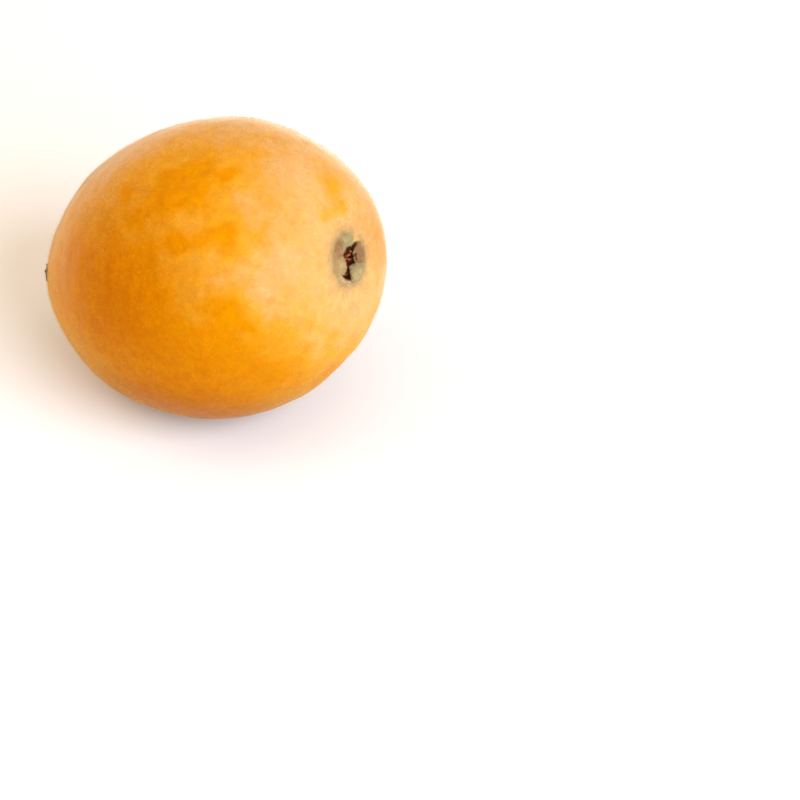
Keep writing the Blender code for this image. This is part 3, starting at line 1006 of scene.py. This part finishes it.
def make_stamens():
    """Dried filaments that stand crowded and bent at the bottom of the cup."""
    draw = np.random.default_rng(SEED + 60)
    rings, sides = 9, 8
    tubes = []
    share = np.linspace(0.0, 1.0, rings)
    floor = CUP_FLOOR - CUP_DEPTH
    for _ in range(STAMENS):
        side = draw.uniform(0.0, math.tau)
        root = towards(side, STAMEN_BED_RADIUS * math.sqrt(draw.uniform(0.02, 1.0)))
        lean = draw.normal(0.0, STAMEN_LEAN, 2) - STAMEN_INWARD * root[:2]
        from_tall = np.linalg.norm(root[:2] - TALL_STAMENS)
        raised = math.exp(-((from_tall / TALL_STAMENS_REACH) ** 2))
        length = draw.uniform(*STAMEN_LENGTHS) + TALL_STAMENS_RISE * raised
        curl = draw.normal(0.0, STAMEN_CURL, 2)
        path = np.column_stack(
            [
                root[0] + lean[0] * share + curl[0] * share**2,
                root[1] + lean[1] * share + curl[1] * share**2,
                floor - STAMEN_ROOT_DEPTH + length * share,
            ]
        )
        radii = draw.uniform(*STAMEN_RADII) * (1.0 - 0.35 * share) + 0.00010 * (share > 0.85)
        radii[0], radii[-1] = radii[0] * 1.3, radii[-1] * 0.5
        tubes.append(to_frame(tube_points(narrowed(path) + calyx_middle(), radii, sides)))
    points, faces = join_tubes(tubes, rings, sides)
    stamens = new_piece("dried_stamens", points, faces, ("stamens",))
    tree = Tree("dried stamens")
    dark = (0.17, 0.040, 0.009, 1.0)
    rusty = (0.46, 0.108, 0.026, 1.0)
    color = tree.mix(tree.noise(1300.0, 3.0), dark, rusty)
    stamens.data.materials.append(tree.surface(color, 0.75, 0.5))


def stem_line(share):
    """The stem's middle line from its seat to its broken end, with its radius."""
    start = stem_foot() + np.array([0.0, 0.0, STEM_SEAT_DEPTH - GAP])
    path = start + towards(STEM_BEND_SIDE, STEM_BEND) * (share**2)[:, None]
    path[:, 2] -= (STEM_LENGTH + STEM_SEAT_DEPTH) * share
    foot_flare = (STEM_FOOT_RADIUS / STEM_RADIUS - 1.0) * (1.0 - share) ** 3
    return path, STEM_RADIUS * (1.0 + foot_flare + STEM_END_FLARE * share**4)


def stem_surface(along, around):
    """A stub with ridged bark and a slanted, fibrous end, from a ball's angles."""
    share = np.clip((along / math.pi) / STEM_SIDE_SHARE, 0.0, 1.0)
    inward = np.clip((along / math.pi - STEM_SIDE_SHARE) / (1.0 - STEM_SIDE_SHARE), 0.0, 1.0)
    path, radii = stem_line(share)
    seat = stem_line(np.array([0.0]))[0][0, 2]
    end = stem_line(np.array([1.0]))[0][0, 2]
    ridges = 1.0 + 0.035 * np.cos(8.0 * around + 2.0 * share)
    ridges = ridges + 0.02 * np.cos(21.0 * around - 4.0 * share)
    closing = np.minimum(1.0, along / 0.15)
    radii = radii * ridges * closing * (1.0 - inward)
    slope = math.tan(STEM_BREAK_TILT)
    break_height = STEM_BREAK_DEPTH - slope * (radii * np.cos(around - STEM_BEND_SIDE))
    rim_height = STEM_BREAK_DEPTH - slope * STEM_RADIUS * np.cos(around - STEM_BEND_SIDE)
    height = seat + (end + rim_height - seat) * share
    height = np.where(inward > 0.0, end + break_height, height)
    ragged = 0.00008 * np.cos(5.0 * around + 1.0) + 0.00006 * np.cos(11.0 * around)
    ragged = ragged + 0.00003 * np.cos(23.0 * around)
    on_bark = smooth_step((share - 0.7) / 0.3)
    height += ragged * np.where(inward > 0.0, 1.0 - smooth_step(inward / 0.4), on_bark)
    out = np.column_stack([np.cos(around), np.sin(around), np.zeros(len(around))])
    points = path + radii[:, None] * out
    points[:, 2] = height
    wood = smooth_step(inward / 0.3)
    pith = smooth_step((inward - 0.72) / 0.12)
    fibres = 0.0001 * ripples(points * np.array([1.0, 1.0, 0.1]), 0.0005, SEED + 70)
    points[:, 2] += wood * (0.00022 + fibres) + pith * 0.0002
    points[:, 2] -= 0.00012 * np.exp(-(((inward - 0.5) / 0.12) ** 2)) * wood
    bark = rippled(points, BARK_RELIEF, SEED + 71)
    points += out * (bark * (1.0 - wood))[:, None]
    return points, share, inward


def make_stem():
    """The stub in one piece; gives its points and their place on it for the wool."""
    along, around, faces = sphere_grid(*STEM_GRID)
    own, share, inward = stem_surface(along, around)
    stem = new_piece("stem_stub", to_frame(own), faces, ("stem",))
    add_values(stem, "share", share)
    add_values(stem, "inward", inward)
    tree = Tree("stem bark")
    bark = tree.mix(tree.noise(900.0, 4.0, 0.6), (0.10, 0.06, 0.028, 1.0), (0.30, 0.21, 0.11, 1.0))
    weathered = tree.remap(tree.noise(1800.0, 3.0), 0.35, 0.65, 0.0, 0.6)
    bark = tree.mix(weathered, bark, (0.30, 0.27, 0.20, 1.0))
    rim = tree.remap(tree.value("share"), 0.82, 1.0, 0.0, 0.85)
    color = tree.mix(rim, bark, (0.022, 0.014, 0.01, 1.0))
    wood = tree.remap(tree.value("inward"), 0.12, 0.3)
    fibre = tree.mix(tree.noise(4200.0, 3.0), (0.13, 0.10, 0.075, 1.0), (0.46, 0.41, 0.34, 1.0))
    color = tree.mix(wood, color, fibre)
    pith = tree.remap(tree.value("inward"), 0.7, 0.85, 0.0, 0.7)
    color = tree.mix(pith, color, (0.06, 0.03, 0.018, 1.0))
    rough = tree.bump(tree.noise(4000.0, 4.0, 0.7), 0.0001, 0.7)
    tree.link(rough, tree.shader.inputs["Normal"])
    stem.data.materials.append(tree.surface(color, 0.9, 0.25))
    return own, share, inward, around


def make_stem_wool(own, share, inward, around):
    """Grey-brown wool on the stub's bark, which is thickest by the fruit."""
    draw = np.random.default_rng(SEED + 95)
    bark = np.flatnonzero((share > 0.25) & (inward <= 0.0))
    chosen = draw.choice(bark, STEM_HAIRS)
    kept = draw.uniform(size=STEM_HAIRS) < 1.1 - 0.8 * share[chosen]
    chosen = chosen[kept]
    side = around[chosen]
    out = np.column_stack([np.cos(side), np.sin(side), np.full(len(chosen), -0.2)])
    out /= np.linalg.norm(out, axis=1)[:, None]
    feet = own[chosen] + draw.normal(0.0, STEM_WOOL_SCATTER, (len(chosen), 3))
    tree = Tree("stem wool")
    color = tree.mix(tree.noise(900.0, 2.0), (0.36, 0.28, 0.17, 1.0), (0.66, 0.56, 0.40, 1.0))
    material = tree.surface(color, 0.9, 0.1)
    bent_hairs("stem_wool", feet, out, draw, STEM_WOOL_SIZE, material)


def make_floor():
    """The plain surface that the fruit lies on."""
    builder = bmesh.new()
    bmesh.ops.create_grid(builder, x_segments=1, y_segments=1, size=FLOOR_HALF_SIZE)
    mesh = bpy.data.meshes.new("floor")
    builder.to_mesh(mesh)
    builder.free()
    floor = bpy.data.objects.new("floor", mesh)
    bpy.context.scene.collection.objects.link(floor)
    tree = Tree("floor")
    mesh.materials.append(tree.surface(FLOOR_COLOR, 0.9, 0.0))


def camera_directions():
    """The camera's right, up and backward directions in the frame."""
    right = Vector((math.cos(CAMERA_TURN), math.sin(CAMERA_TURN), 0.0))
    level = Vector((math.sin(CAMERA_TURN), -math.cos(CAMERA_TURN), 0.0))
    back = level * math.cos(CAMERA_HEIGHT) + Vector((0.0, 0.0, math.sin(CAMERA_HEIGHT)))
    return right, back.cross(right), back


def make_camera():
    """The camera, which puts the fruit's middle where the photograph has it."""
    right, up, back = camera_directions()
    beside_middle = (FRUIT_PIXEL[0] - FRAME_PIXELS / 2.0) / PIXELS_PER_METRE
    above_middle = (FRAME_PIXELS / 2.0 - FRUIT_PIXEL[1]) / PIXELS_PER_METRE
    aim = Vector(MIDDLE) - right * beside_middle - up * above_middle
    data = bpy.data.cameras.new("camera")
    data.sensor_width = SENSOR_WIDTH_MM
    data.lens = SENSOR_WIDTH_MM * PIXELS_PER_METRE * CAMERA_DISTANCE / FRAME_PIXELS
    data.clip_start = 0.01
    camera = bpy.data.objects.new("camera", data)
    bpy.context.scene.collection.objects.link(camera)
    camera.location = aim + back * CAMERA_DISTANCE
    turn = Matrix((right, up, back)).transposed()
    camera.rotation_euler = turn.to_euler()
    bpy.context.scene.camera = camera


def make_lamp(name, side, height, distance, size, watts, color):
    """A soft round lamp that shines on the fruit from a side and a height above the floor."""
    level = Vector((math.cos(side), math.sin(side), 0.0)) * math.cos(height)
    place = Vector(MIDDLE) + (level + Vector((0.0, 0.0, math.sin(height)))) * distance
    data = bpy.data.lights.new(name, "AREA")
    data.shape = "DISK"
    data.size = size
    data.energy = watts
    data.color = color
    lamp = bpy.data.objects.new(name, data)
    bpy.context.scene.collection.objects.link(lamp)
    lamp.location = place
    lamp.rotation_euler = (place - Vector(MIDDLE)).to_track_quat("Z", "Y").to_euler()


def overhead(tree):
    """The sky's strength, which grows from the horizon to overhead."""
    point = tree.nodes.new("ShaderNodeTexCoord").outputs["Generated"]
    parts = tree.nodes.new("ShaderNodeSeparateXYZ")
    tree.links.new(point, parts.inputs["Vector"])
    mapper = tree.nodes.new("ShaderNodeMapRange")
    tree.links.new(parts.outputs["Z"], mapper.inputs["Value"])
    mapper.inputs["To Min"].default_value = SKY_HORIZON
    mapper.inputs["To Max"].default_value = SKY_OVERHEAD
    return mapper.outputs["Result"]


def make_light():
    """A soft sky and two lamps."""
    world = bpy.data.worlds.new("studio")
    bpy.context.scene.world = world
    world.use_nodes = True
    backdrop = world.node_tree.nodes["Background"]
    backdrop.inputs["Color"].default_value = SKY_COLOR
    height = overhead(world.node_tree)
    world.node_tree.links.new(height, backdrop.inputs["Strength"])
    make_lamp("key", *KEY_LAMP)
    make_lamp("fill", *FILL_LAMP)
    bpy.context.scene.view_settings.view_transform = "Standard"


make_skin()
make_down()
make_calyx_wool(*make_sepals())
make_cup()
make_stamens()
make_stem_wool(*make_stem())
make_floor()
make_camera()
make_light()
